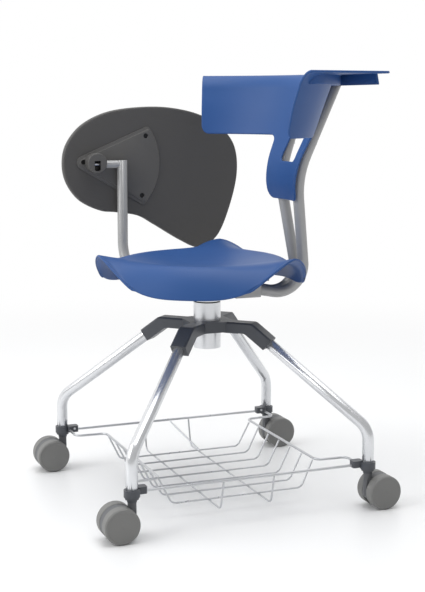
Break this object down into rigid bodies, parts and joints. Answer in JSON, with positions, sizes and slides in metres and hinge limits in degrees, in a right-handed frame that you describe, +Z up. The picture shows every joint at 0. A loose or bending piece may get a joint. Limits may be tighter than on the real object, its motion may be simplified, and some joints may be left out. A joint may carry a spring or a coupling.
{
  "type": "student desk chair",
  "caption": "School chair with a swivelling moulded seat, a winged back with a flat ledge, a flip-over tablet arm, twin-wheel casters and a wire basket under the seat.",
  "frame": {"origin": "on the floor under the axis of the column", "axes": "+Z up, the sitter faces -Y, +X is the sitter's left; the tablet arm is on the sitter's right, at -X"},
  "size_m": [0.6108, 0.5914, 0.8266],
  "materials": {
    "hub_charcoal": "moulded, satin",
    "zinc": "zinc plated",
    "column_silver": "satin silver",
    "black_plastic": "moulded",
    "basket_wire": "satin light grey powder coat",
    "leg_silver": "metallic silver powder coat",
    "caster_grey": "moulded, satin",
    "wheel_grey": "moulded wheel with a soft tread",
    "shell_blue": "moulded, satin",
    "frame_grey": "satin grey powder coat",
    "arm_grey": "satin light grey powder coat",
    "drum_grey": "moulded, satin",
    "tablet_charcoal": "moulded, satin",
    "black_screw": "black oxide"
  },
  "bodies": {
    "base": {"hub_spider": "hub_charcoal", "hub_screws": "zinc", "column_sleeve": "column_silver", "column_cap": "black_plastic", "column_bushes": "black_plastic", "leg_front_left": "leg_silver", "leg_front_right": "leg_silver", "leg_rear_left": "leg_silver", "leg_rear_right": "leg_silver", "leg_clips": "hub_charcoal", "clip_screws": "zinc", "caster_sockets": "black_plastic", "basket_side_rails": "basket_wire", "basket_rim_bars": "basket_wire", "basket_rim_hooks": "basket_wire", "basket_floor_wires": "basket_wire", "basket_end_wires": "basket_wire", "basket_cross_wires": "basket_wire", "basket_cross_ends": "basket_wire", "basket_brace": "basket_wire"},
    "caster_front_left": {"caster_frame_front_left": "caster_grey", "caster_stem_front_left": "zinc", "caster_axle_front_left": "zinc"},
    "wheel_inner_front_left": {"wheel_inner_front_left": "wheel_grey"},
    "wheel_outer_front_left": {"wheel_outer_front_left": "wheel_grey"},
    "caster_front_right": {"caster_frame_front_right": "caster_grey", "caster_stem_front_right": "zinc", "caster_axle_front_right": "zinc"},
    "wheel_inner_front_right": {"wheel_inner_front_right": "wheel_grey"},
    "wheel_outer_front_right": {"wheel_outer_front_right": "wheel_grey"},
    "caster_rear_left": {"caster_frame_rear_left": "caster_grey", "caster_stem_rear_left": "zinc", "caster_axle_rear_left": "zinc"},
    "wheel_inner_rear_left": {"wheel_inner_rear_left": "wheel_grey"},
    "wheel_outer_rear_left": {"wheel_outer_rear_left": "wheel_grey"},
    "caster_rear_right": {"caster_frame_rear_right": "caster_grey", "caster_stem_rear_right": "zinc", "caster_axle_rear_right": "zinc"},
    "wheel_inner_rear_right": {"wheel_inner_rear_right": "wheel_grey"},
    "wheel_outer_rear_right": {"wheel_outer_rear_right": "wheel_grey"},
    "seat": {"seat_shell": "shell_blue", "seat_plate": "frame_grey", "seat_spindle": "zinc", "seat_hub": "column_silver", "seat_screws": "zinc", "tube_saddle": "frame_grey", "back_tube_left": "frame_grey", "back_tube_right": "frame_grey", "back_shell": "shell_blue", "back_screws": "zinc"},
    "arm": {"arm_tube": "arm_grey", "arm_collar": "column_silver", "arm_stub": "arm_grey", "arm_pin": "zinc"},
    "flip": {"flip_hub": "drum_grey", "pivot_washer": "zinc"},
    "tablet": {"tablet_bracket": "drum_grey", "tablet_top": "tablet_charcoal", "tablet_screws": "black_screw"}
  },
  "joints": [
    {"name": "caster_swivel_front_left", "type": "hinge", "parent": "base", "child": "caster_front_left", "pos_m": [0.237, -0.237, 0.0685], "axis": [0, 0, 1], "continuous": true},
    {"name": "wheel_spin_inner_front_left", "type": "hinge", "parent": "caster_front_left", "child": "wheel_inner_front_left", "pos_m": [0.237, -0.2627, 0.033], "axis": [1, 0, 0], "continuous": true},
    {"name": "wheel_spin_outer_front_left", "type": "hinge", "parent": "caster_front_left", "child": "wheel_outer_front_left", "pos_m": [0.237, -0.2627, 0.033], "axis": [1, 0, 0], "continuous": true},
    {"name": "caster_swivel_front_right", "type": "hinge", "parent": "base", "child": "caster_front_right", "pos_m": [-0.237, -0.237, 0.0685], "axis": [0, 0, 1], "continuous": true},
    {"name": "wheel_spin_inner_front_right", "type": "hinge", "parent": "caster_front_right", "child": "wheel_inner_front_right", "pos_m": [-0.237, -0.2627, 0.033], "axis": [1, 0, 0], "continuous": true},
    {"name": "wheel_spin_outer_front_right", "type": "hinge", "parent": "caster_front_right", "child": "wheel_outer_front_right", "pos_m": [-0.237, -0.2627, 0.033], "axis": [1, 0, 0], "continuous": true},
    {"name": "caster_swivel_rear_left", "type": "hinge", "parent": "base", "child": "caster_rear_left", "pos_m": [0.237, 0.237, 0.0685], "axis": [0, 0, 1], "continuous": true},
    {"name": "wheel_spin_inner_rear_left", "type": "hinge", "parent": "caster_rear_left", "child": "wheel_inner_rear_left", "pos_m": [0.237, 0.2627, 0.033], "axis": [1, 0, 0], "continuous": true},
    {"name": "wheel_spin_outer_rear_left", "type": "hinge", "parent": "caster_rear_left", "child": "wheel_outer_rear_left", "pos_m": [0.237, 0.2627, 0.033], "axis": [1, 0, 0], "continuous": true},
    {"name": "caster_swivel_rear_right", "type": "hinge", "parent": "base", "child": "caster_rear_right", "pos_m": [-0.237, 0.237, 0.0685], "axis": [0, 0, 1], "continuous": true},
    {"name": "wheel_spin_inner_rear_right", "type": "hinge", "parent": "caster_rear_right", "child": "wheel_inner_rear_right", "pos_m": [-0.237, 0.2627, 0.033], "axis": [1, 0, 0], "continuous": true},
    {"name": "wheel_spin_outer_rear_right", "type": "hinge", "parent": "caster_rear_right", "child": "wheel_outer_rear_right", "pos_m": [-0.237, 0.2627, 0.033], "axis": [1, 0, 0], "continuous": true},
    {"name": "seat_swivel", "type": "hinge", "parent": "base", "child": "seat", "pos_m": [0, 0, 0.382], "axis": [0, 0, 1], "continuous": true},
    {"name": "arm_swivel", "type": "hinge", "parent": "seat", "child": "arm", "pos_m": [0, 0, 0.3935], "axis": [0, 0, 1], "range_deg": [0, 75]},
    {"name": "tablet_flip", "type": "hinge", "parent": "arm", "child": "flip", "pos_m": [-0.31, -0.133, 0.6388], "axis": [0, 1, 0], "range_deg": [0, 90]},
    {"name": "tablet_spin", "type": "hinge", "parent": "flip", "child": "tablet", "pos_m": [-0.31, -0.133, 0.6421], "axis": [1, 0, 0], "range_deg": [0, 90]}
  ]
}
